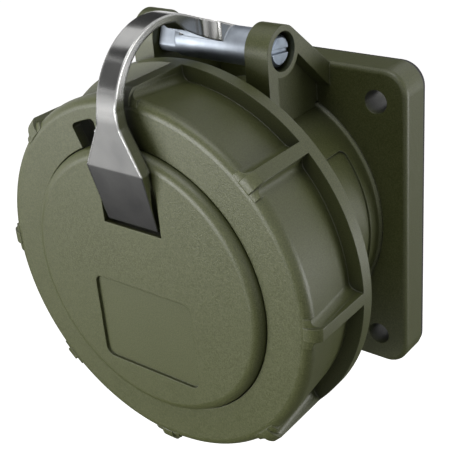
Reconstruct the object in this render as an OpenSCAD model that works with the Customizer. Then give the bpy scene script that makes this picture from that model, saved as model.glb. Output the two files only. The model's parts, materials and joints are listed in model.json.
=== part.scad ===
// Flanged industrial panel socket, five poles and a pilot contact, with a hinged
// lid that a bayonet ring locks.
// The part stands in its panel as it is used: Z is up, -Y points to the user and
// the origin is on the socket's axis, in the plane of the panel.
// Lengths are in millimetres. Inside the modules, "depth" is measured forwards
// from the panel, so a piece at depth d stands at y = -d.

/* [Flange] */
// Side of the square flange
flange_side = 112.5; // [108:0.5:120]
// Front face of the flange, measured from the panel
flange_front = 13.2; // [11:0.2:16]
// Radius of the flange's corners
flange_corner = 8.5; // [7:0.5:12]
// Rounding of the flange's front edge
flange_edge = 1.8; // [1:0.2:2.4]
// Distance between fixing holes
bolt_pitch = 90; // [88:0.5:92]
// Diameter of a fixing hole
bolt_hole_d = 8.2; // [5.5:0.1:9]
// Thickness of the rubber gasket behind the flange
flange_gasket_t = 1.8; // [1:0.2:3]

/* [Collar] */
// Outer diameter of the collar
collar_d = 92; // [90:0.5:94]
// Wall of the collar
collar_wall = 3.6; // [3:0.1:4]
// Depth of the collar's rim, which the lid's gasket seals
collar_rim = 72.3; // [70:0.5:76]
// Fillet between the collar and the flange
collar_foot = 1.3; // [0.8:0.1:2]
// Height of the two bayonet lugs on the collar
collar_lug_h = 5.2; // [4.6:0.1:5.6]
// Length of a collar lug round the collar, in degrees
collar_lug_span = 28; // [22:1:30]
// Distance from the collar's rim to the back of its lugs
collar_lug_set = 10.3; // [9.5:0.1:11]
// Thickness of the collar lugs
collar_lug_t = 5.5; // [4:0.5:6]
// Width of the keyway at the foot of the collar
keyway_w = 11; // [9:0.5:12]
// Depth of the nameplate panel sunk in the collar's side
plate_sink = 0.7; // [0.4:0.1:1]

/* [Hinge] */
// Depth of the hinge axis
hinge_depth = 38.8; // [37:0.2:40]
// Height of the hinge axis over the socket's axis
hinge_up = 67.5; // [66:0.5:69]
// Outer radius of the hinge lugs
lug_r = 8.3; // [8:0.1:9]
// Distance between the lugs' inner faces
lug_gap = 37.6; // [34:0.2:40]
// Thickness of a hinge lug
lug_t = 8.8; // [8:0.2:10]
// Thickness of the ribs that frame a lug's pocket
lug_rib = 5; // [4:0.2:6]
// Depth of a lug's pocket, measured along the hinge
lug_pocket = 5.3; // [4:0.1:6]
// Diameter of the hinge screw's shank
hinge_pin_d = 6; // [5:0.2:7]
// Diameter of the hinge barrel
barrel_d = 12.2; // [11:0.2:13]

/* [Strap] */
// Width of the strap's neck
neck_w = 7.7; // [6:0.1:10]
// Width of the strap at its crease
crease_w = 22.6; // [20:0.2:24]
// Width at the foot's lower end
foot_w = 20.8; // [18:0.2:22]
// How far the strap's face stands in front of the disc
strap_rise = 4.3; // [3.8:0.1:5.4]
// Height of the crease over the socket's axis
crease_up = 42.5; // [41:0.5:44]
// Height of the foot's lower end
foot_up = 22; // [20:0.5:24]
// Thickness of the foot plate
foot_t = 3; // [2.4:0.1:3.4]
// Lean of the foot plate, in degrees
foot_lean = 13; // [10:0.5:14]

/* [Lid] */
// Diameter of the raised disc
disc_d = 94.8; // [92:0.2:97]
// How far the disc stands in front of the ring
disc_rise = 3.3; // [3:0.1:3.8]
// Rounding of the disc's edge
disc_edge = 3.4; // [2:0.1:4]
// Width of the label field
label_w = 41.2; // [30:0.2:46]
// Height of the label field
label_h = 32; // [20:0.5:34]
// Lower edge of the label field under the socket's axis
label_low = 33.4; // [30:0.2:35]
// Depth of the label field
label_sink = 1; // [0.5:0.1:1.4]
// Room between the lid's flange and the ring's skirt
lid_flange_gap = 0.9; // [0.7:0.1:1.2]
// Thickness of the lid's flange
lid_flange_t = 4; // [3.6:0.1:4.4]
// Section width of the lid gasket
seal_w = 7.6; // [6:0.2:8]

/* [Bayonet ring] */
// Diameter over the ring's ribs and rear rim
ring_d = 131.7; // [130:0.2:134]
// Length of the ring from its rear edge to its front face
ring_l = 30.2; // [29.2:0.1:31]
// Width of the rear rim
rim_w = 4.6; // [3.6:0.2:6]
// Height of the rear rim over the panels in front of it
rim_h = 5.15; // [4.8:0.05:5.4]
// How far the panels flare from the rear rim to the front shoulder
panel_flare = 2.1; // [1.6:0.1:2.8]
// Rounding of the front shoulder
shoulder_r = 3.3; // [2:0.1:4]
// Distance from the collar's rim to the ring's front face
ring_rise = 10.8; // [10.5:0.1:11.1]
// Thickness of the ring's front wall
front_wall = 3.5; // [3:0.1:3.6]
// Wall of the ring's skirt beside the rear rim
skirt_wall = 3.5; // [3.2:0.1:3.8]
// Number of grip ribs
rib_count = 8; // [6:1:12]
// Width of a rib at its top
rib_w = 4; // [3:0.2:6]
// Angle from the open to the locked position, in degrees
lock_angle = 40; // [30:1:42]

/* [Contacts] */
// Diameter of the circle on which the contacts stand
contact_pitch_d = 45; // [44:0.5:46]
// Pin size of the phase and neutral contacts
phase_pin_d = 10; // [9:0.5:10.5]
// Pin size of the earth contact
earth_pin_d = 12; // [11:0.5:12.5]
// Pin size of the pilot contact
pilot_pin_d = 6; // [5:0.5:6.5]
// Room for the plug's sleeve between the insert and the collar
sleeve_gap = 6.4; // [5.6:0.1:7]
// Distance from the collar's rim down to the insert's face
insert_sink = 11.3; // [8:0.1:14]
// Length of the terminal carrier behind the insert
carrier_l = 40; // [34:1:50]

/* [Fits] */
// Gap that lets a piece run or slide beside another
run_gap = 0.3; // [0.3:0.05:0.4]
// Radial play of the hinge screw
pin_play = 0.05; // [0.02:0.01:0.1]
// Radial play of a screw in its hole
screw_play = 0.2; // [0.1:0.05:0.3]

/* [Hidden] */
$fn = 96;

skin = 0.01;              // how far a cut runs past the face it opens
bite = 0.005;             // how far a tangent line dips into its arc, so that the two cross cleanly
olive = [0.42, 0.43, 0.35];
steel = [0.75, 0.76, 0.78];
zinc = [0.62, 0.66, 0.70];
rubber = [0.08, 0.08, 0.08];
brass = [0.78, 0.66, 0.36];
grey = [0.62, 0.62, 0.60];

// Depths that follow the collar's rim
ring_front = collar_rim + ring_rise;
ring_rear = ring_front - ring_l;
disc_front = ring_front + disc_rise;
strap_front = disc_front + strap_rise;
collar_lug_back = collar_rim - collar_lug_set;
insert_front = collar_rim - insert_sink;

// Collar and flange
collar_r = collar_d / 2;
collar_bore_r = collar_r - collar_wall;
collar_lug_r = collar_r + collar_lug_h;
spigot_l = 8;                               // tube that centres the socket in its cut-out
spigot_r = collar_r + 0.5;
seat_gap = 0.02;                            // between the collar and what it stands against
ledge_back = 8.8;
ledge_front = 18;
insert_r = collar_bore_r - sleeve_gap;
insert_seat_r = collar_bore_r + 1.1;        // pocket for the insert's flange
keyway_h = 3.8;                             // from the bore to the keyway's floor
keyway_wall = 3.3;
plate_half_h = 29;                          // half the height of the sunk nameplate panel
plate_rear = 19.3;
plate_front = 40;
plate_corner = 2.5;

// Hinge
lug_in = lug_gap / 2;
lug_out = lug_in + lug_t;
strut_end_up = flange_side / 2 - flange_edge + 0.4;
hinge_pin_r = hinge_pin_d / 2;
hinge_bore_r = hinge_pin_r + pin_play;
head_r = 5.05;
head_t = 3.6;
head_sink = 1;                              // head below the lug's face
slot_w = 1.5;
slot_depth = 1.3;
slot_turn = -8.5;
counterbore_r = 6.3;
counterbore_depth = head_t + head_sink;
nut_flats = 10;
nut_t = 4.2;
barrel_r = barrel_d / 2;
barrel_l = lug_gap - 4 * run_gap;

// Ring
ring_r = ring_d / 2;
rim_front = ring_rear + rim_w;
panel_rear_r = ring_r - rim_h;
panel_front_r = panel_rear_r + panel_flare;
skirt_r = panel_rear_r - skirt_wall;
front_wall_back = ring_front - front_wall;
rib_foot_w = rib_w * 1.15;
rib_fillet = 2.8;
rib_bury = 0.2;                             // how far the fillets dip under the round panels
rib_slope = 4.8;                            // length of the slope at a rib's front end
rib_drop = 2.8;
ring_lug_gap = 2.3;                         // between a ring lug and the collar
ring_lug_r = collar_r + ring_lug_gap;
ring_lug_span = 22;
ring_lug_t = 5.5;
ring_lug_front = collar_lug_back - run_gap;
tab_span = 18;
tab_t = 1.6;
tab_h = 2.3;

// Lid
disc_r = disc_d / 2;
disc_hole_r = disc_r + run_gap + 0.1;
lid_flange_r = skirt_r - lid_flange_gap;
lid_flange_front = front_wall_back - run_gap;
lid_back = lid_flange_front - lid_flange_t;
seal_r = collar_bore_r + collar_wall / 2;   // the gasket's mean radius
seal_back = collar_rim + run_gap;
seal_floor = lid_back + 1.7;
cavity_r = 37.5;
disc_wall = 3.4;
cavity_floor = disc_front - disc_wall;
window_from = 104.5;
window_to = 115.5;
window_r = 56;
window_corner = 1.6;

// Strap: its outer and inner arcs, given by centre and radius in depth and height
arch_out_r = 25.5;
arch_out = [strap_front - arch_out_r, hinge_up - 9.7];
arch_in_r = 21.1;
arch_t = 4.1;                               // thickness of the arch at its front
arch_in = [strap_front - arch_t - arch_in_r, hinge_up - 7.9];
strap_t = 3.6;
neck_fillet = 5;                            // fillet in plan between neck and barrel
flat_depth = 0.9;                           // mill flats at the barrel's left end
flat_l = 7;
arm_knee = [0.39, 0.93];                   // knees of the arm's underside, along its back line
arm_t = [5.9, 4.8];                         // thickness of the arm at its knees
flare_up = crease_up + 14.9;
pocket_side = 1.4;                          // room beside the foot in its pocket
pocket_low = 1.4;
boss_r = 3.2;
boss_x = 5.6;
boss_up = 28.5;
pad_back = 78.4;                            // inner face of the pad behind the pocket
strap_screw_r = 1.6;

// Contacts
pitch_r = contact_pitch_d / 2;
phase_angles = [126, 54, 342, 198];         // L1, L2, L3 and neutral
earth_angle = 270;
insert_back = 3.5;
insert_flange_r = insert_seat_r - run_gap;
lip_t = 2.5;                                // wall in front of the contacts
face_back = insert_front - 4;
sleeve_wall = 3;
plate_end = ledge_back + 4;                 // front of the contact plate
entry_gap = 0.6;                            // round a pin in its entry hole
contact_wall = 1.8;
contact_play = 0.1;
shoulder_t = 3;
shoulder_h = 2.2;
slit_w = 1.2;
slit_l = 18;
pilot_front = insert_front - 5 * lip_t;
spring_t = 0.85;
spring_w = 4;
spring_split = 1.6;
spring_back = insert_front - 14;
chamber_gap = 1.2;                          // between a contact and its recess in the face
terminal_h = 1;                             // terminal's extra radius over the contact
carrier_r = insert_r - 1.5;
carrier_back = insert_back - carrier_l;
terminal_sink = 3;
terminal_screw_r = 3;
terminal_screw_l = 6.5;
screw_slot_w = 1;
screw_slot_depth = 1.5;
terminal_screw_steps = [14, 25];            // behind the insert
insert_screw_at = insert_r + 0.52 * sleeve_gap;
insert_screw_r = 2;
carrier_screw_at = 10.2;
carrier_screw_angles = [90, 234, 306];

// ---- helpers --------------------------------------------------------------------

// Turns depth into -Y and keeps X to the right and Z up
module front() rotate([90, 0, 0]) children();

// Extrudes an outline drawn in [depth, height] along X
module along_x(x0, x1)
    translate([x1, 0, 0]) rotate([0, -90, 0]) linear_extrude(x1 - x0) children();

// Extrudes an outline drawn in [x, height] forwards between two depths
module between(d0, d1) translate([0, 0, d0]) linear_extrude(d1 - d0) children();

// Part of a turned ring, from angle a0 to a1
module sector(a0, a1, r0, r1, d0, d1)
    rotate([0, 0, a0]) rotate_extrude(angle = a1 - a0) translate([r0, d0]) square([r1 - r0, d1 - d0]);

module tube(r0, r1, d0, d1)
    rotate_extrude() translate([r0, d0]) square([r1 - r0, d1 - d0]);

module rod(r, d0, d1) translate([0, 0, d0]) cylinder(r = r, h = d1 - d0);

module rounded_square(side, r) {
    square([side, side - 2 * r], center = true);
    square([side - 2 * r, side], center = true);
    for (sx = [-1, 1], sy = [-1, 1])
        translate([sx * (side / 2 - r), sy * (side / 2 - r)]) circle(r);
}

// A rectangle with round corners, given by its left, low, right and high edges
module rounded_box_2d(x0, y0, x1, y1, r) {
    translate([x0 + r, y0]) square([x1 - x0 - 2 * r, y1 - y0]);
    translate([x0, y0 + r]) square([x1 - x0, y1 - y0 - 2 * r]);
    for (x = [x0 + r, x1 - r], y = [y0 + r, y1 - r]) translate([x, y]) circle(r);
}

// A square plate with round corners and a round front edge: a disc at each corner
// and two bars between them
module soft_plate(side, corner, edge, d0, d1) {
    reach = side / 2 - corner;
    for (a = [0, 90]) rotate([0, 0, a]) {
        between(d0, d1 - edge) square([side, 2 * reach], center = true);
        between(d0, d1) square([side - 2 * edge, 2 * reach], center = true);
        for (s = [-1, 1]) translate([s * (side / 2 - edge), -reach, d1 - edge]) rotate([-90, 0, 0])
            cylinder(r = edge, h = 2 * reach);
    }
    for (sx = [-1, 1], sy = [-1, 1]) translate([sx * reach, sy * reach, 0]) rotate_extrude() {
        translate([0, d0]) square([corner, d1 - edge - d0]);
        translate([0, d0]) square([corner - edge, d1 - d0]);
        translate([corner - edge, d1 - edge]) circle(edge);
    }
}

module bolt_places() for (sx = [-1, 1], sy = [-1, 1]) translate([sx, sy] * bolt_pitch / 2) children();

// Places a child on the contact circle
module at_contact(angle) rotate([0, 0, angle]) translate([pitch_r, 0, 0]) children();

// Angle of the line from p that touches a circle of radius r round c on its upper side
function touch_angle(p, c, r) =
    atan2(c[1] - p[1], c[0] - p[0]) - asin(r / norm(c - p));
function touch_point(p, c, r) =
    c + r * [cos(touch_angle(p, c, r) - 90), sin(touch_angle(p, c, r) - 90)];

// ---- housing --------------------------------------------------------------------

module collar_profile() {
    edge = 0.8;
    translate([collar_bore_r, flange_front]) square([collar_wall, collar_rim - flange_front - edge]);
    translate([collar_bore_r + edge, collar_rim - edge]) square([collar_wall - 2 * edge, edge]);
    translate([collar_bore_r + edge, collar_rim - edge]) circle(edge);
    translate([collar_r - edge, collar_rim - edge]) circle(edge);
    difference() {
        translate([collar_r - 1, flange_front]) square([collar_foot + 1, collar_foot]);
        translate([collar_r + collar_foot, flange_front + collar_foot]) circle(collar_foot);
    }
}

// A lug's boss, its front rib and its strut down to the flange, filled in
module lug_body(x0, x1) {
    strut_end = [flange_front - flange_edge, strut_end_up];
    strut_top = touch_point([-strut_end[0], strut_end[1]], [-hinge_depth, hinge_up], lug_r - bite);
    hinge_line(x0, x1) circle(lug_r);
    along_x(x0, x1)
        polygon([[hinge_depth + lug_r - bite, hinge_up], [hinge_depth + lug_r - bite, lug_foot_up()],
                 [flange_front - 1, lug_foot_up()], strut_end, [-strut_top[0], strut_top[1]],
                 [hinge_depth, hinge_up + 1]]);
}

// Lugs end inside the collar's wall
function lug_foot_up() = sqrt(pow(collar_r, 2) - pow(lug_out, 2)) - 1.5;

// Sunk web between a lug's ribs
module lug_pocket(x0, x1) difference() {
    along_x(x0, x1)
        polygon([[hinge_depth + lug_r - lug_rib, hinge_up], [hinge_depth + lug_r - lug_rib, 0],
                 [flange_front, 0], [flange_front, strut_end_up - lug_rib / cos(strut_lean())],
                 [hinge_depth, hinge_up + (lug_r - lug_rib) / cos(strut_lean())]]);
    hinge_line(x0 - 1, x1 + 1) circle(lug_r);
}

function strut_lean() = atan2(hinge_up - strut_end_up, hinge_depth - flange_front) +
    asin(lug_r / norm([hinge_up - strut_end_up, hinge_depth - flange_front]));

module lug(side) {
    mirror([side < 0 ? 1 : 0, 0, 0]) difference() {
        lug_body(lug_in, lug_out);
        lug_pocket(lug_out - lug_pocket, lug_out + 1);
        hinge_line(lug_in - 1, lug_out + 1) circle(hinge_bore_r);
        if (side > 0) hinge_line(lug_out - counterbore_depth, lug_out + 1) circle(counterbore_r);
        if (side < 0) hinge_line(lug_out - nut_t - head_sink, lug_out + 1)
            circle(r = (nut_flats / 2 + screw_play) / cos(30), $fn = 6);
    }
}

module hinge_line(x0, x1) translate([0, hinge_up, hinge_depth]) along_x(x0, x1) children();

// Sunk panel on the collar's right side, with rounded corners
module plate_cut() difference() {
    along_x(collar_r / 2, collar_r + 1)
        rounded_box_2d(plate_rear, -plate_half_h, plate_front, plate_half_h, plate_corner);
    rod(collar_r - plate_sink, plate_rear - 1, plate_front + 1);
}

module keyway(half_w, r, d0, d1)
    translate([-half_w, -r, d0]) cube([2 * half_w, r - insert_r - 2, d1 - d0]);

// Flange with the hinge lugs and the ledge that carries the contacts
module housing() color(olive) front() difference() {
    union() {
        soft_plate(flange_side, flange_corner, flange_edge, flange_gasket_t, flange_front);
        rod(spigot_r, -spigot_l, flange_front);
        rod(collar_bore_r - seat_gap, flange_front - 1, ledge_front);
        difference() {
            for (side = [-1, 1]) lug(side);
            rod(collar_r + collar_foot + seat_gap, flange_front, flange_front + collar_foot);
            rod(collar_r + seat_gap, flange_front, collar_rim);
        }
    }
    rod(insert_r + run_gap, -spigot_l - 1, ledge_front + 1);
    rod(insert_seat_r, -spigot_l - 1, ledge_back);
    translate([0, 0, -1]) linear_extrude(flange_front + 2) bolt_places() circle(bolt_hole_d / 2);
    for (a = [45 : 90 : 315]) rotate([0, 0, a]) translate([insert_screw_at, 0, 0])
        rod(insert_screw_r + screw_play / 4, ledge_back - 1, ledge_front - 1.5);
}

// Round wall that stands on the flange, with the bayonet lugs and the keyway
module collar() color(olive) front() difference() {
    union() {
        rotate_extrude() collar_profile();
        for (a = [-lock_angle, 180 - lock_angle])
            sector(a - collar_lug_span / 2, a + collar_lug_span / 2, collar_r - 1, collar_lug_r,
                   collar_lug_back, collar_lug_back + collar_lug_t);
        keyway(keyway_w / 2 + keyway_wall, collar_bore_r + keyway_h + keyway_wall, flange_front,
               collar_rim - 2);
    }
    rod(collar_bore_r, flange_front - 1, collar_rim + 1);
    keyway(keyway_w / 2, collar_bore_r + keyway_h, ledge_front + 1, collar_rim + 1);
    plate_cut();
}

module flange_gasket() color(rubber) front() between(0, flange_gasket_t) difference() {
    rounded_square(flange_side - 0.8, flange_corner - 0.4);
    circle(spigot_r + run_gap);
    bolt_places() circle(bolt_hole_d / 2);
}

// ---- hinge screw ----------------------------------------------------------------

module hinge_screw() color(zinc) front() difference() {
    union() {
        hinge_line(-lug_out + head_sink, lug_out - counterbore_depth + skin) circle(hinge_pin_r);
        hinge_line(lug_out - counterbore_depth, lug_out - head_sink - 0.9) circle(head_r);
        translate([lug_out - head_sink - 0.9, hinge_up, hinge_depth]) rotate([0, 90, 0])
            cylinder(r1 = head_r, r2 = head_r - 0.9, h = 0.9);
    }
    translate([lug_out - head_sink, hinge_up, hinge_depth]) rotate([slot_turn, 0, 0])
        cube([2 * slot_depth, slot_w, 4 * head_r], center = true);
}

module hinge_nut() color(zinc) front() difference() {
    hinge_line(-lug_out + head_sink, -lug_out + head_sink + nut_t) circle(r = nut_flats / 2 / cos(30), $fn = 6);
    hinge_line(-lug_out, lug_out) circle(hinge_bore_r);
}

// ---- contacts -------------------------------------------------------------------

function contact_r(pin_d) = pin_d / 2 + contact_play + contact_wall;
function chamber_r(pin_d) = contact_r(pin_d) + chamber_gap;
function terminal_r(pin_d) = contact_r(pin_d) + terminal_h;

// Cuts a hole at every contact: its radius is given for the phase, earth and pilot contacts
module contact_holes(phase_r, earth_r, pilot_r, d0, d1) {
    for (a = phase_angles) at_contact(a) rod(phase_r, d0, d1);
    at_contact(earth_angle) rod(earth_r, d0, d1);
    rod(pilot_r, d0, d1);
}

module carrier_screw_places() for (a = carrier_screw_angles) rotate([0, 0, a])
    translate([carrier_screw_at, 0, 0]) children();

// The insert's face, with the plug's entry holes
module insert_face() color(grey) front() difference() {
    rod(insert_r, face_back, insert_front);
    contact_holes(phase_pin_d / 2 + entry_gap, earth_pin_d / 2 + entry_gap, pilot_pin_d / 2 + entry_gap,
                  face_back - 1, insert_front + 1);
    contact_holes(chamber_r(phase_pin_d), chamber_r(earth_pin_d), pilot_pin_d / 2 + entry_gap,
                  face_back - 1, insert_front - lip_t);
}

module insert_sleeve() color(grey) front() tube(insert_r - sleeve_wall, insert_r, plate_end, face_back);

// Plate against which the retainer clamps the contacts' shoulders
module contact_plate() color(grey) front() difference() {
    rod(insert_r, ledge_back, plate_end);
    contact_holes(contact_r(phase_pin_d) + contact_play, contact_r(earth_pin_d) + contact_play,
                  contact_r(pilot_pin_d) + contact_play, ledge_back - 1, plate_end + 1);
    carrier_screw_places() rod(insert_screw_r + screw_play / 4, ledge_back - 1, plate_end + 1);
}

module contact_retainer() color(grey) front() difference() {
    play = shoulder_h + contact_play;
    rod(insert_flange_r, insert_back, ledge_back);
    contact_holes(terminal_r(phase_pin_d) + contact_play, terminal_r(earth_pin_d) + contact_play,
                  contact_r(pilot_pin_d) + contact_play, insert_back - 1, ledge_back + 1);
    contact_holes(contact_r(phase_pin_d) + play, contact_r(earth_pin_d) + play, contact_r(pilot_pin_d) + play,
                  ledge_back - shoulder_t, ledge_back + 1);
    for (a = [45 : 90 : 315]) rotate([0, 0, a]) translate([insert_screw_at, 0, 0])
        rod(insert_screw_r + screw_play, insert_back - 1, ledge_back + 1);
    carrier_screw_places() rod(insert_screw_r + screw_play, insert_back - 1, ledge_back + 1);
}

// A turned contact: slotted sleeve in front, shoulder, and a terminal behind.
// The screws of its terminal face outwards.
module contact(pin_d, sleeve_front) {
    r = contact_r(pin_d);
    bore_r = pin_d / 2 + contact_play;
    terminal_back = carrier_back + terminal_sink;
    difference() {
        union() {
            rod(r, ledge_back - 1, sleeve_front);
            rod(r + shoulder_h, ledge_back - shoulder_t, ledge_back);
            rod(terminal_r(pin_d), terminal_back, ledge_back - shoulder_t + skin);
        }
        rod(bore_r, ledge_front, sleeve_front + 1);
        rod(bore_r, terminal_back - 1, insert_back - terminal_screw_steps[0] + 7);
        for (a = [0, 90]) rotate([0, 0, a]) translate([-slit_w / 2, -2 * r, sleeve_front - slit_l])
            cube([slit_w, 4 * r, slit_l + 1]);
        for (s = terminal_screw_steps) translate([0, 0, insert_back - s]) rotate([0, 90, 0])
            cylinder(r = terminal_screw_r + pin_play, h = 2 * r);
    }
}

module phase_contact(i) color(brass) front() at_contact(phase_angles[i])
    contact(phase_pin_d, insert_front - lip_t - 1);
module contact_l1() phase_contact(0);
module contact_l2() phase_contact(1);
module contact_l3() phase_contact(2);
module contact_n() phase_contact(3);
module contact_pe() color(brass) front() at_contact(earth_angle) contact(earth_pin_d, insert_front - lip_t - 0.4);

module contact_pilot() color(brass) front() {
    r = contact_r(pilot_pin_d);
    difference() {
        union() {
            rod(r, carrier_back + terminal_sink, pilot_front);
            rod(r + shoulder_h, ledge_back - shoulder_t, ledge_back);
        }
        rod(pilot_pin_d / 2 + contact_play, ledge_front, pilot_front + 1);
        rod(pilot_pin_d / 3, carrier_back, insert_back - 12);
    }
}

module contact_spring(pin_d, angle) at_contact(angle) difference() {
    tube(contact_r(pin_d) + pin_play, contact_r(pin_d) + spring_t, spring_back, spring_back + spring_w);
    rotate([0, 0, 45]) translate([0, -spring_split / 2, spring_back - 1])
        cube([2 * contact_r(pin_d), spring_split, spring_w + 2]);
}

module contact_springs() color(steel) front() {
    for (a = phase_angles) contact_spring(phase_pin_d, a);
    contact_spring(earth_pin_d, earth_angle);
}

// Rear block round the terminals, open to the screwdriver at its side
module terminal_carrier() color(grey) front() difference() {
    rod(carrier_r, carrier_back, insert_back);
    for (a = phase_angles) carrier_cuts(phase_pin_d, a);
    carrier_cuts(earth_pin_d, earth_angle);
    rod(contact_r(pilot_pin_d) + contact_play, carrier_back - 1, insert_back + 1);
    carrier_screw_places() {
        rod(insert_screw_r + screw_play, carrier_back - 1, insert_back + 1);
        rod(3.8, carrier_back - 1, insert_back - 8);
    }
}

module carrier_cuts(pin_d, angle) at_contact(angle) {
    rod(terminal_r(pin_d) + contact_play, carrier_back - 1, insert_back + 1);
    for (s = terminal_screw_steps) translate([0, 0, insert_back - s]) rotate([0, 90, 0])
        cylinder(r = terminal_screw_r + 1, h = insert_r);
}

module terminal_screw(pin_d) {
    tip = pin_d / 2 + contact_play + 0.2;
    for (s = terminal_screw_steps) translate([0, 0, insert_back - s]) rotate([0, 90, 0]) difference() {
        translate([0, 0, tip]) cylinder(r = terminal_screw_r, h = terminal_screw_l);
        translate([-screw_slot_w / 2, -terminal_screw_r - 1, tip + terminal_screw_l - screw_slot_depth])
            cube([screw_slot_w, 2 * terminal_screw_r + 2, screw_slot_depth + 1]);
    }
}

module terminal_screws() color(zinc) front() {
    for (a = phase_angles) at_contact(a) terminal_screw(phase_pin_d);
    at_contact(earth_angle) terminal_screw(earth_pin_d);
}

// Cylinder-head screw that enters forwards; its head's seat is at depth seat
module cap_screw(r, head, head_h, seat, tip) difference() {
    union() {
        rod(r, seat - skin, tip);
        rod(head, seat - head_h, seat);
    }
    translate([-screw_slot_w / 2, -head - 1, seat - head_h - 1])
        cube([screw_slot_w, 2 * head + 2, 2]);
}

module insert_screws() color(zinc) front() for (a = [45 : 90 : 315]) rotate([0, 0, a])
    translate([insert_screw_at, 0, 0]) cap_screw(insert_screw_r, 3.2, 2.4, insert_back, ledge_front - 3);

module carrier_screws() color(zinc) front() carrier_screw_places()
    cap_screw(insert_screw_r, 3.5, 2.4, insert_back - 8, plate_end - 0.5);

// ---- lid ------------------------------------------------------------------------

// The foot plate's back face, as depth at a given height
function foot_back(up) = strap_front - (crease_up - up) * tan(foot_lean) - foot_t / cos(foot_lean);

module foot_space(grow_side, grow_low) {
    low = foot_up - grow_low;
    high = crease_up + 4;
    along_x(-crease_w / 2 - grow_side + 0.7, crease_w / 2 + grow_side - 0.7)
        polygon([[foot_back(low), low], [foot_back(high), high], [disc_front + 5, high], [disc_front + 5, low]]);
}

module lid_disc() color(olive) front() difference() {
    union() {
        rotate_extrude() {
            translate([0, lid_back]) square([disc_r, disc_front - disc_edge - lid_back]);
            translate([0, lid_back]) square([disc_r - disc_edge, disc_front - lid_back]);
            translate([disc_r - disc_edge, disc_front - disc_edge]) circle(disc_edge);
            translate([0, lid_back]) square([lid_flange_r, lid_flange_t]);
        }
    }
    difference() {
        rod(cavity_r, lid_back - 1, cavity_floor);
        translate([-crease_w / 2 - 3, foot_up - 4, pad_back]) cube([crease_w + 6, crease_up - foot_up + 4, 10]);
    }
    tube(seal_r - seal_w / 2 - run_gap / 2, seal_r + seal_w / 2 + run_gap / 2, lid_back - 1, seal_floor);
    foot_space(pocket_side, pocket_low);
    between(disc_front - label_sink, disc_front + 1)
        rounded_box_2d(-label_w / 2, -label_low, label_w / 2, label_h - label_low, 3);
    sector(window_from - 1, window_to + 1, disc_hole_r, lid_flange_r + 1, lid_back - 1, lid_flange_front + 1);
    for (s = [-1, 1]) translate([s * boss_x, boss_up, 0]) rod(boss_r + screw_play, pad_back - 1, disc_front);
}

module lid_gasket() color(rubber) front() {
    tube(seal_r - seal_w / 2, seal_r + seal_w / 2, seal_back + 0.8, seal_floor);
    tube(seal_r - seal_w / 2 + 1.2, seal_r + seal_w / 2 - 1.2, seal_back, seal_back + 1);
}

module strap_screws() color(zinc) front() for (s = [-1, 1]) translate([s * boss_x, boss_up, 0])
    cap_screw(strap_screw_r, boss_r + 1.4, 2.4, pad_back, foot_back(boss_up));

// Strap from the barrel over the arch to the crease, between two planes. Its back
// line leaves the barrel as a tangent and runs into the outer arc.
module strap_body(x0, x1) {
    barrel = [hinge_depth, hinge_up];
    tilt = atan2(hinge_up - arch_out[1], arch_out[0] - hinge_depth);
    spread = acos((arch_out_r - barrel_r) / norm(arch_out - barrel));
    normal = [-cos(tilt + spread), sin(tilt + spread)];
    along = [normal[1], -normal[0]];
    start = barrel + (barrel_r - bite) * normal;
    end = arch_out + (arch_out_r - bite) * normal;
    l = norm(end - start);
    difference() {
        union() {
            intersection() {
                along_x(x0, x1) translate(arch_out) circle(arch_out_r);
                along_x(x0 - 1, x1 + 1) polygon([arch_out, arch_out + 2 * arch_out_r * normal,
                    [strap_front + 9, arch_out[1] + 2 * arch_out_r], [strap_front + 9, arch_out[1]]]);
            }
            along_x(x0, x1) translate([arch_in[0], crease_up]) square([strap_front - arch_in[0], arch_out[1] - crease_up]);
        }
        along_x(x0 - 1, x1 + 1) translate(arch_in) circle(arch_in_r);
        along_x(x0 - 1, x1 + 1) translate([arch_in[0] - arch_in_r, crease_up - 30])
            square([2 * arch_in_r, arch_in[1] - crease_up + 30]);
    }
    along_x(x0, x1) polygon([end, start, barrel, start + arm_knee[0] * l * along - arm_t[0] * normal,
        start + arm_knee[1] * l * along - arm_t[1] * normal,
        arch_in + (arch_in_r + 1) * [cos(100), sin(100)]]);
}

// Front view of the strap: neck, flare and crease
module strap_front_view() {
    w = neck_w / 2;
    knee = 4;
    slope = (crease_w - neck_w) / 2 / (flare_up - crease_up);
    translate([-w, flare_up]) square([neck_w, hinge_up]);
    polygon([[-w, flare_up + knee], [w, flare_up + knee], [w + 0.35 * slope * knee, flare_up - 1],
             [crease_w / 2, crease_up], [-crease_w / 2, crease_up], [-w - 0.35 * slope * knee, flare_up - 1]]);
}

module foot_front_view()
    polygon([[-crease_w / 2, crease_up], [crease_w / 2, crease_up], [foot_w / 2, foot_up], [-foot_w / 2, foot_up]]);

module lid_strap() color(steel) front() {
    difference() {
        union() {
            hinge_line(-barrel_l / 2, barrel_l / 2) circle(barrel_r);
            strap_neck();
            intersection() {
                strap_body(-crease_w, crease_w);
                between(arch_in[0], strap_front + 1) strap_front_view();
            }
            foot_plate();
            for (s = [-1, 1]) translate([s * boss_x, boss_up, 0])
                rod(boss_r, pad_back + run_gap, foot_back(boss_up) + 1);
        }
        for (turn = [-20, 70]) translate([-barrel_l / 2, hinge_up, hinge_depth]) rotate([turn, 0, 0])
            translate([-1, -barrel_r, barrel_r - flat_depth]) cube([flat_l + 1, 2 * barrel_r, 5]);
        hinge_line(-lug_out, lug_out) circle(hinge_bore_r);
        for (s = [-1, 1]) translate([s * boss_x, boss_up, 0])
            rod(strap_screw_r + pin_play, pad_back - 1, foot_back(boss_up) + 0.4);
    }
}

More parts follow.
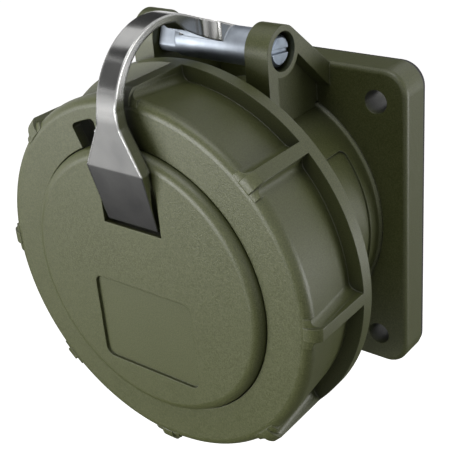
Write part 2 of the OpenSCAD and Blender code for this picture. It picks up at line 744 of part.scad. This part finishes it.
// The neck, with hollow fillets that widen it where it meets the barrel
module strap_neck() {
    fillet_end = hinge_depth + barrel_r + neck_fillet;
    intersection() {
        strap_body(-neck_w / 2, neck_w / 2);
        translate([-50, 0, 0]) cube([100, 120, arch_in[0] + 1]);
    }
    intersection() {
        strap_body(-neck_w / 2 - neck_fillet, neck_w / 2 + neck_fillet);
        difference() {
            translate([-neck_w / 2 - neck_fillet, hinge_up - barrel_r, hinge_depth - barrel_r])
                cube([neck_w + 2 * neck_fillet, 4 * barrel_r, fillet_end - hinge_depth + barrel_r]);
            for (s = [-1, 1]) translate([s * (neck_w / 2 + neck_fillet), hinge_up - barrel_r - 1, fillet_end])
                rotate([-90, 0, 0]) cylinder(r = neck_fillet, h = 5 * barrel_r);
        }
    }
}

module foot_plate() intersection() {
    along_x(-crease_w, crease_w)
        polygon([[foot_back(foot_up), foot_up], [foot_back(crease_up), crease_up],
                 [strap_front - strap_t, crease_up + strap_t], [strap_front, crease_up + strap_t],
                 [strap_front, crease_up], [foot_back(foot_up) + foot_t / cos(foot_lean), foot_up]]);
    between(disc_front - 10, strap_front + 1) union() {
        foot_front_view();
        strap_front_view();
    }
}

// ---- bayonet ring ---------------------------------------------------------------

panel_lean = atan2(panel_front_r - panel_rear_r, ring_front - shoulder_r - rim_front);
shoulder_c = [panel_front_r - shoulder_r * cos(panel_lean), ring_front - shoulder_r];

module ring_profile() difference() {
    union() {
        translate([disc_hole_r, rim_front - 1])
            square([shoulder_c[0] - disc_hole_r, ring_front - rim_front + 1]);
        polygon([[disc_hole_r, rim_front - 1], [panel_rear_r, rim_front - 1], [panel_rear_r, rim_front],
                 shoulder_c + shoulder_r * [cos(panel_lean), -sin(panel_lean)], shoulder_c,
                 [disc_hole_r, shoulder_c[1]]]);
        translate(shoulder_c) circle(shoulder_r);
        translate([disc_hole_r, ring_rear]) square([ring_r - disc_hole_r, rim_w]);
    }
    translate([0, ring_rear - 1]) square([skirt_r, front_wall_back - ring_rear + 1]);
}

// Envelope of the ribs, flush with the rear rim and rounded in front
module rib_envelope() rotate_extrude() {
    slope_arc = (rib_slope * rib_slope + rib_drop * rib_drop) / (2 * rib_drop);
    translate([skirt_r + 1, rim_front - 1]) square([ring_r - skirt_r - 1, ring_front - rib_drop - rim_front + 1]);
    translate([skirt_r + 1, rim_front - 1]) square([ring_r - rib_slope - skirt_r - 1, ring_front - rim_front + 1]);
    intersection() {
        translate([ring_r - rib_slope, ring_front - slope_arc]) circle(slope_arc);
        translate([skirt_r + 1, rim_front - 1]) square([ring_r - skirt_r - 1, ring_front - rim_front + 1]);
    }
}

// Stretches a rib's outline, drawn along +X, forwards in line with the leaning panels
module rib_length() translate([panel_rear_r, 0, rim_front]) rotate([0, panel_lean, 0])
    translate([-panel_rear_r, 0, -1]) linear_extrude(ring_front - rim_front + 3) children();

module rib_outline() polygon([[skirt_r + 1, -rib_foot_w / 2], [panel_rear_r, -rib_foot_w / 2],
    [ring_r + 2, -rib_w / 2], [ring_r + 2, rib_w / 2], [panel_rear_r, rib_foot_w / 2],
    [skirt_r + 1, rib_foot_w / 2]]);

// Hollow fillets at the foot of a rib
module rib_foot_outline() difference() {
    r = panel_rear_r + rib_fillet - rib_bury;
    translate([skirt_r + 1, -rib_foot_w / 2 - rib_fillet])
        square([r - skirt_r - 1, rib_foot_w + 2 * rib_fillet]);
    for (s = [-1, 1]) translate([r, s * (rib_foot_w / 2 + rib_fillet)]) circle(rib_fillet);
}

// Front end of the fillets, which follows the shoulder
module foot_envelope() rotate_extrude() {
    r = panel_front_r + rib_fillet;
    back = ring_front - shoulder_r - rib_fillet;
    translate([skirt_r + 1, rim_front - 1]) square([r - skirt_r - 1, back - rim_front + 1]);
    translate([r - shoulder_r - rib_fillet, back]) circle(shoulder_r + rib_fillet);
}

module bayonet_ring() color(olive) front() difference() {
    union() {
        rotate_extrude() ring_profile();
        intersection() {
            rib_envelope();
            for (i = [0 : rib_count - 1]) rotate([0, 0, i * 360 / rib_count]) rib_length() rib_outline();
        }
        intersection() {
            foot_envelope();
            for (i = [0 : rib_count - 1]) rotate([0, 0, i * 360 / rib_count]) rib_length() rib_foot_outline();
        }
        for (a = [0, 180])
            sector(a - ring_lug_span / 2, a + ring_lug_span / 2, ring_lug_r, skirt_r + 0.5,
                   ring_lug_front - ring_lug_t, ring_lug_front);
        for (a = [30, 150, 270])
            sector(a - tab_span / 2, a + tab_span / 2, skirt_r - tab_h, skirt_r + 0.5,
                   lid_back - run_gap - tab_t, lid_back - run_gap);
    }
    window_cut();
}

// Sight window through the ring's front wall
module window_cut() {
    corner = window_corner / window_r * 180 / PI;
    d0 = front_wall_back - 1;
    d1 = ring_front + 1;
    sector(window_from, window_to, disc_hole_r - 1, window_r - window_corner, d0, d1);
    sector(window_from + corner, window_to - corner, disc_hole_r - 1, window_r, d0, d1);
    for (a = [window_from + corner, window_to - corner]) rotate([0, 0, a])
        translate([window_r - window_corner, 0, 0]) rod(window_corner, d0, d1);
}

housing();
collar();
flange_gasket();
hinge_screw();
hinge_nut();
insert_face();
insert_sleeve();
contact_plate();
contact_retainer();
insert_screws();
terminal_carrier();
carrier_screws();
contact_l1();
contact_l2();
contact_l3();
contact_n();
contact_pe();
contact_pilot();
contact_springs();
terminal_screws();
lid_strap();
lid_disc();
lid_gasket();
strap_screws();
bayonet_ring();
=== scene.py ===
import json
import math

import bpy
from mathutils import Matrix, Vector

MM = 0.001
WHITE = (1, 1, 1, 1)
BLACK = (0, 0, 0, 1)


def srgb(red, green, blue):
    """Linear colour from display values of 0 to 255."""
    linear = []
    for value in (red, green, blue):
        value /= 255
        linear.append(value / 12.92 if value <= 0.04045 else ((value + 0.055) / 1.055) ** 2.4)
    return (*linear, 1.0)


def grey(level):
    """Linear grey from a display value of 0 to 255."""
    return srgb(level, level, level)


# ---- nodes ----------------------------------------------------------------------


class Nodes:
    """A node tree, with short ways to add and join nodes."""

    def __init__(self, tree):
        self.tree = tree

    def feed(self, socket, value):
        """Give a socket a constant, or the output of another node."""
        if isinstance(value, bpy.types.NodeSocket):
            self.tree.links.new(value, socket)
        else:
            socket.default_value = value

    def add(self, kind, inputs=None, **settings):
        """Add a node. The keys of inputs are names or, where several share one, numbers."""
        node = self.tree.nodes.new(kind)
        for name, value in settings.items():
            setattr(node, name, value)
        for key, value in (inputs or {}).items():
            self.feed(node.inputs[key], value)
        return node


class Surface(Nodes):
    """A new material: the nodes that feed its Principled shader."""

    SAMPLES = 6  # rays for each look at corners and edges

    def __init__(self, name):
        self.material = bpy.data.materials.new(name)
        self.material.use_nodes = True
        super().__init__(self.material.node_tree)
        self.shader = self.tree.nodes["Principled BSDF"]

    def put(self, name, value):
        """Set or link an input of the shader."""
        self.feed(self.shader.inputs[name], value)

    def position(self):
        """The shaded point in its object's coordinates, in metres."""
        return self.add("ShaderNodeTexCoord").outputs["Object"]

    def noise(self, scale, detail=2.0, roughness=0.5):
        inputs = {"Vector": self.position(), "Scale": scale, "Detail": detail, "Roughness": roughness}
        return self.add("ShaderNodeTexNoise", inputs).outputs["Fac"]

    def ramp(self, factor, colours):
        """Blend two colours. Each key of colours is the factor at which that colour is pure."""
        node = self.add("ShaderNodeValToRGB", {"Fac": factor})
        for stop, (position, colour) in zip(node.color_ramp.elements, colours.items()):
            stop.position = position
            stop.color = colour
        return node.outputs["Color"]

    def spread(self, factor, low, high, start=0.3, end=0.7):
        """Map the range from start to end onto the range from low to high."""
        inputs = {"Value": factor, "From Min": start, "From Max": end, "To Min": low, "To Max": high}
        return self.add("ShaderNodeMapRange", inputs).outputs["Result"]

    def mix(self, factor, first, second):
        """The first colour at factor 0, the second at 1."""
        colour_a, colour_b, colour_out = 6, 7, 2
        inputs = {"Factor": factor, colour_a: first, colour_b: second}
        return self.add("ShaderNodeMix", inputs, data_type="RGBA").outputs[colour_out]

    def vector(self, operation, *values):
        """The outputs of a vector operation on the given values."""
        node = self.add("ShaderNodeVectorMath", dict(enumerate(values)), operation=operation)
        return node.outputs

    def openness(self, distance):
        """1 in the open, and less the more is walled in within the distance."""
        node = self.add("ShaderNodeAmbientOcclusion", {"Distance": distance}, samples=self.SAMPLES)
        return node.outputs["AO"]

    def rounded(self, radius):
        """A normal that makes edges look rounded to the radius."""
        node = self.add("ShaderNodeBevel", {"Radius": radius}, samples=self.SAMPLES)
        return node.outputs["Normal"]

    def bump(self, height, strength, distance, normal):
        inputs = {"Height": height, "Strength": strength, "Distance": distance, "Normal": normal}
        return self.add("ShaderNodeBump", inputs).outputs["Normal"]


# ---- materials ------------------------------------------------------------------


def moulded(name, dark, light, painted_shade, grain, roughness=0.42, gloss=0.5):
    """Matte moulded plastic or rubber with a fine eroded grain, and painted shade: its colour darkens
    towards the shade colour in corners and hollows, where ambient occlusion finds it walled in.
    """
    cloud_share = 0.08  # of the slow blotches, against 1 of the fine grain
    painted_shade_reach = 18 * MM
    roughness_swing = 0.06
    surface = Surface(name)
    fine = surface.noise(scale=2400, roughness=0.6)
    cloud = surface.noise(scale=38)
    blend = {0: cloud, 1: cloud_share, 2: fine}
    tone = surface.add("ShaderNodeMath", blend, operation="MULTIPLY_ADD").outputs[0]
    outer = surface.ramp(tone, {0.38: dark, 0.76: light})
    # Painted shade: the more walled in the surface is, the more its colour is blended towards the dark shade
    # colour.
    out_of_painted_shade = surface.spread(surface.openness(painted_shade_reach), 0, 1, start=0.2, end=0.7)
    edges = surface.rounded(0.4 * MM)
    surface.put("Base Color", surface.mix(out_of_painted_shade, painted_shade, outer))
    surface.put(
        "Roughness", surface.spread(fine, roughness - roughness_swing, roughness + roughness_swing)
    )
    surface.put("Specular IOR Level", gloss)
    surface.put("Normal", surface.bump(fine, strength=grain, distance=0.1 * MM, normal=edges))
    return surface.material


def metal(name, dark, light, roughness, streak_scale, grain=0.0):
    """Metal with fine streaks in its roughness."""
    surface = Surface(name)
    streaks = surface.noise(streak_scale, detail=4.0, roughness=0.55)
    edges = surface.rounded(0.3 * MM)
    surface.put("Metallic", 1.0)
    surface.put("Base Color", surface.ramp(surface.noise(scale=90), {0.3: dark, 0.7: light}))
    surface.put("Roughness", surface.spread(streaks, roughness * 0.8, roughness * 1.25))
    surface.put("Normal", surface.bump(streaks, strength=grain, distance=0.05 * MM, normal=edges))
    return surface.material


def strap_metal(hinge):
    """Polished steel, with a bluer and duller barrel round the hinge's axis, which runs along X."""
    barrel_radius = 6.15 * MM
    edge_width = 0.1 * MM
    strap_roughness, barrel_roughness = 0.17, 0.48
    surface = Surface("polished_steel")
    away = surface.vector("SUBTRACT", surface.position(), hinge)[0]
    across = surface.vector("MULTIPLY", away, (0, 1, 1))[0]
    distance = surface.vector("LENGTH", across)["Value"]
    on_strap = surface.spread(distance, 0, 1, start=barrel_radius, end=barrel_radius + edge_width)
    steel_noise = surface.noise(scale=90)
    steel = surface.ramp(steel_noise, {0.3: srgb(168, 168, 167), 0.7: srgb(186, 186, 184)})
    barrel_noise = surface.noise(scale=120, detail=3.0, roughness=0.6)
    barrel = surface.ramp(barrel_noise, {0.35: srgb(142, 149, 158), 0.7: srgb(166, 173, 182)})
    surface.put("Metallic", 1.0)
    surface.put("Base Color", surface.mix(on_strap, barrel, steel))
    surface.put(
        "Roughness", surface.spread(on_strap, barrel_roughness, strap_roughness, start=0, end=1)
    )
    surface.put("Normal", surface.rounded(0.9 * MM))
    return surface.material


# ---- frame ----------------------------------------------------------------------

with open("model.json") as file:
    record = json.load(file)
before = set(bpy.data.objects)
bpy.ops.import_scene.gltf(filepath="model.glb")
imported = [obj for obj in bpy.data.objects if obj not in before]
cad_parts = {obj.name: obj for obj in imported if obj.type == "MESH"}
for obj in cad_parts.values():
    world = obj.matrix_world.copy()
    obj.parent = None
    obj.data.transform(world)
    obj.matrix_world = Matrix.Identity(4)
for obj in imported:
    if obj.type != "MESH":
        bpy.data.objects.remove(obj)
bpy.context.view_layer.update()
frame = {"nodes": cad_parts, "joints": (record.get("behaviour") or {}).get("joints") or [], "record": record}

lid_hinge = next(joint["pos_m"] for joint in frame["joints"] if joint["name"] == "lid_hinge")
# The third colour of each moulded look is painted shade, which it takes on in its corners and hollows.
looks = {
    "olive_plastic": moulded(
        "olive_plastic",
        dark=srgb(66, 71, 33),
        light=srgb(92, 96, 60),
        painted_shade=srgb(22, 25, 2),
        grain=0.6,
        gloss=0.62,
    ),
    "insert_plastic": moulded(
        "insert_plastic",
        dark=srgb(132, 134, 132),
        light=srgb(148, 150, 148),
        painted_shade=grey(80),
        grain=0.1,
    ),
    "seal_rubber": moulded(
        "seal_rubber", dark=grey(22), light=grey(30), painted_shade=grey(12), grain=0.15, roughness=0.6
    ),
    "strap_steel": strap_metal(lid_hinge),
    "zinc_steel": metal(
        "zinc_plate",
        dark=srgb(128, 138, 152),
        light=srgb(150, 160, 172),
        roughness=0.32,
        streak_scale=300,
    ),
    "contact_brass": metal(
        "turned_brass",
        dark=srgb(176, 148, 92),
        light=srgb(200, 172, 112),
        roughness=0.25,
        streak_scale=900,
        grain=0.05,
    ),
}
slots = {part["node"]: part["material_slot"] for part in frame["record"]["subparts"]}
for name, obj in frame["nodes"].items():
    obj.data.materials.clear()
    obj.data.materials.append(looks[slots[name]])

# ---- camera ---------------------------------------------------------------------

AZIMUTH = math.radians(40.02)
ELEVATION = math.radians(27.3)
ROLL = math.radians(-5.3)
CAMERA_PLACE = (0.2012, -0.28094, 0.16292)

right = Vector((math.cos(AZIMUTH), math.sin(AZIMUTH), 0))
level_back = Vector((math.sin(AZIMUTH), -math.cos(AZIMUTH), 0))
back = level_back * math.cos(ELEVATION) + Vector((0, 0, math.sin(ELEVATION)))
up = back.cross(right)
rolled_right = right * math.cos(ROLL) + up * math.sin(ROLL)
rolled_up = up * math.cos(ROLL) - right * math.sin(ROLL)
turn = Matrix((rolled_right, rolled_up, back)).transposed()

camera = bpy.data.objects.new("camera", bpy.data.cameras.new("camera"))
bpy.context.scene.collection.objects.link(camera)
camera.matrix_world = Matrix.Translation(CAMERA_PLACE) @ turn.to_4x4()
camera.data.lens = 80
camera.data.sensor_width = 36
camera.data.clip_start = 0.01
camera.data.clip_end = 20
bpy.context.scene.camera = camera

# ---- studio ---------------------------------------------------------------------

CENTRE = Vector((0, -0.045, 0))  # what lamps and cards face
FLOOR_LEVEL = -0.3
FLOOR_SIDE = 6.0
FLOOR_WHITE = 0.95
WORLD_STRENGTH = 0.06


def white_to_eye(nodes, plain, strength=1.0):
    """Camera, glossy and transmission rays meet white, and all others the plain shader."""
    path = nodes.add("ShaderNodeLightPath")
    seen = path.outputs["Is Camera Ray"]
    for kind in ("Is Glossy Ray", "Is Transmission Ray"):
        either = nodes.add("ShaderNodeMath", {0: seen, 1: path.outputs[kind]}, operation="MAXIMUM")
        seen = either.outputs[0]
    white = nodes.add("ShaderNodeEmission", {"Strength": strength})
    mix = nodes.add("ShaderNodeMixShader", {0: seen, 1: plain, 2: white.outputs[0]})
    return mix.outputs[0]


def towards_centre(place):
    """The turn that points an object's -Z axis from the place to the centre."""
    return (CENTRE - Vector(place)).to_track_quat("-Z", "Y").to_euler()


def lamp(name, place, size, watts):
    """A soft box that faces the socket."""
    data = bpy.data.lights.new(name, "AREA")
    data.shape = "RECTANGLE"
    data.size, data.size_y = size
    data.energy = watts
    obj = bpy.data.objects.new(name, data)
    bpy.context.scene.collection.objects.link(obj)
    obj.location = place
    obj.rotation_euler = towards_centre(place)
    return obj


def sheet(name, place, size, material):
    """A level rectangle of the stage, with its middle at the place."""
    mesh = bpy.data.meshes.new(name)
    corners = [(-0.5, -0.5, 0), (0.5, -0.5, 0), (0.5, 0.5, 0), (-0.5, 0.5, 0)]
    mesh.from_pydata(corners, [], [(0, 1, 2, 3)])
    mesh.materials.append(material)
    obj = bpy.data.objects.new(name, mesh)
    obj.location = place
    obj.scale = (*size, 1)
    bpy.context.scene.collection.objects.link(obj)
    return obj


def reflection_card(name, place, size, tone, level=False):
    """A glowing grey sheet, seen only in the socket's reflections: a painted reflection, which casts no
    light or shadow. It faces the socket or lies level.
    """
    surface = Surface(name)
    surface.put("Base Color", BLACK)
    surface.put("Emission Color", WHITE)
    surface.put("Emission Strength", tone)
    obj = sheet(name, place, size, surface.material)
    if not level:
        obj.rotation_euler = towards_centre(place)
    obj.visible_camera = False
    obj.visible_diffuse = False
    obj.visible_shadow = False
    obj.visible_transmission = False


world = bpy.data.worlds.new("studio")
bpy.context.scene.world = world
world.use_nodes = True
sky = Nodes(world.node_tree)
background = sky.tree.nodes["Background"]
sky.feed(background.inputs["Color"], WHITE)
sky.feed(background.inputs["Strength"], WORLD_STRENGTH)
world_output = sky.tree.nodes["World Output"]
sky.feed(world_output.inputs["Surface"], white_to_eye(sky, background.outputs[0]))

lamp("front_left", place=(-0.8, -1.4, -0.08), size=(1.1, 0.4), watts=21.0)
lamp("right", place=(0.68, 0.30, -0.12), size=(0.32, 0.3), watts=2.2)
lamp("front_right", place=(0.7, -0.9, 0.2), size=(0.4, 0.4), watts=0.3)
lamp("top", place=(0.1, -0.5, 1.2), size=(0.6, 0.6), watts=5.0)

floor = Surface("floor")
floor.put("Base Color", (0.8, 0.8, 0.8, 1))
floor.put("Roughness", 0.9)
# the floor's own shading is added to its white, so that the socket's shadow stays
unlit = floor.add("ShaderNodeEmission", {"Strength": 0})
glow = white_to_eye(floor, unlit.outputs[0], FLOOR_WHITE)
shaded = floor.add("ShaderNodeAddShader", {0: floor.shader.outputs[0], 1: glow})
floor_output = floor.tree.nodes["Material Output"]
floor.feed(floor_output.inputs["Surface"], shaded.outputs[0])
sheet("floor", (0, 0, FLOOR_LEVEL), (FLOOR_SIDE, FLOOR_SIDE), floor.material)

# Painted reflections: sheets that glow at the given tone and are seen only in reflections darken or grey the
# shine of the steel and the plastic where they fall.
foot_level = FLOOR_LEVEL + 6 * MM
dark_level = FLOOR_LEVEL + 3 * MM
reflection_card("card_foot", place=(-0.37, -0.37, foot_level), size=(0.30, 0.17), tone=0.2, level=True)
reflection_card("card_floor", place=(0.0, 0.0, dark_level), size=(2.4, 2.4), tone=0.03, level=True)
reflection_card("card_flare", place=(-0.40, -0.56, -0.24), size=(0.34, 0.30), tone=0.58)
reflection_card("card_arm", place=(-0.56, -0.74, 0.0), size=(0.42, 0.5), tone=0.32)
reflection_card("card_bend", place=(-0.50, -0.60, 0.42), size=(0.40, 0.36), tone=0.14)
reflection_card("card_left", place=(-0.75, -0.9, 0.66), size=(1.0, 0.6), tone=0.06)
reflection_card("card_back", place=(-0.69, 0.82, 0.55), size=(0.9, 0.9), tone=0.03)
reflection_card("card_arch", place=(-0.36, -0.22, 0.52), size=(0.18, 0.18), tone=0.02)

bpy.context.scene.view_settings.view_transform = "Standard"
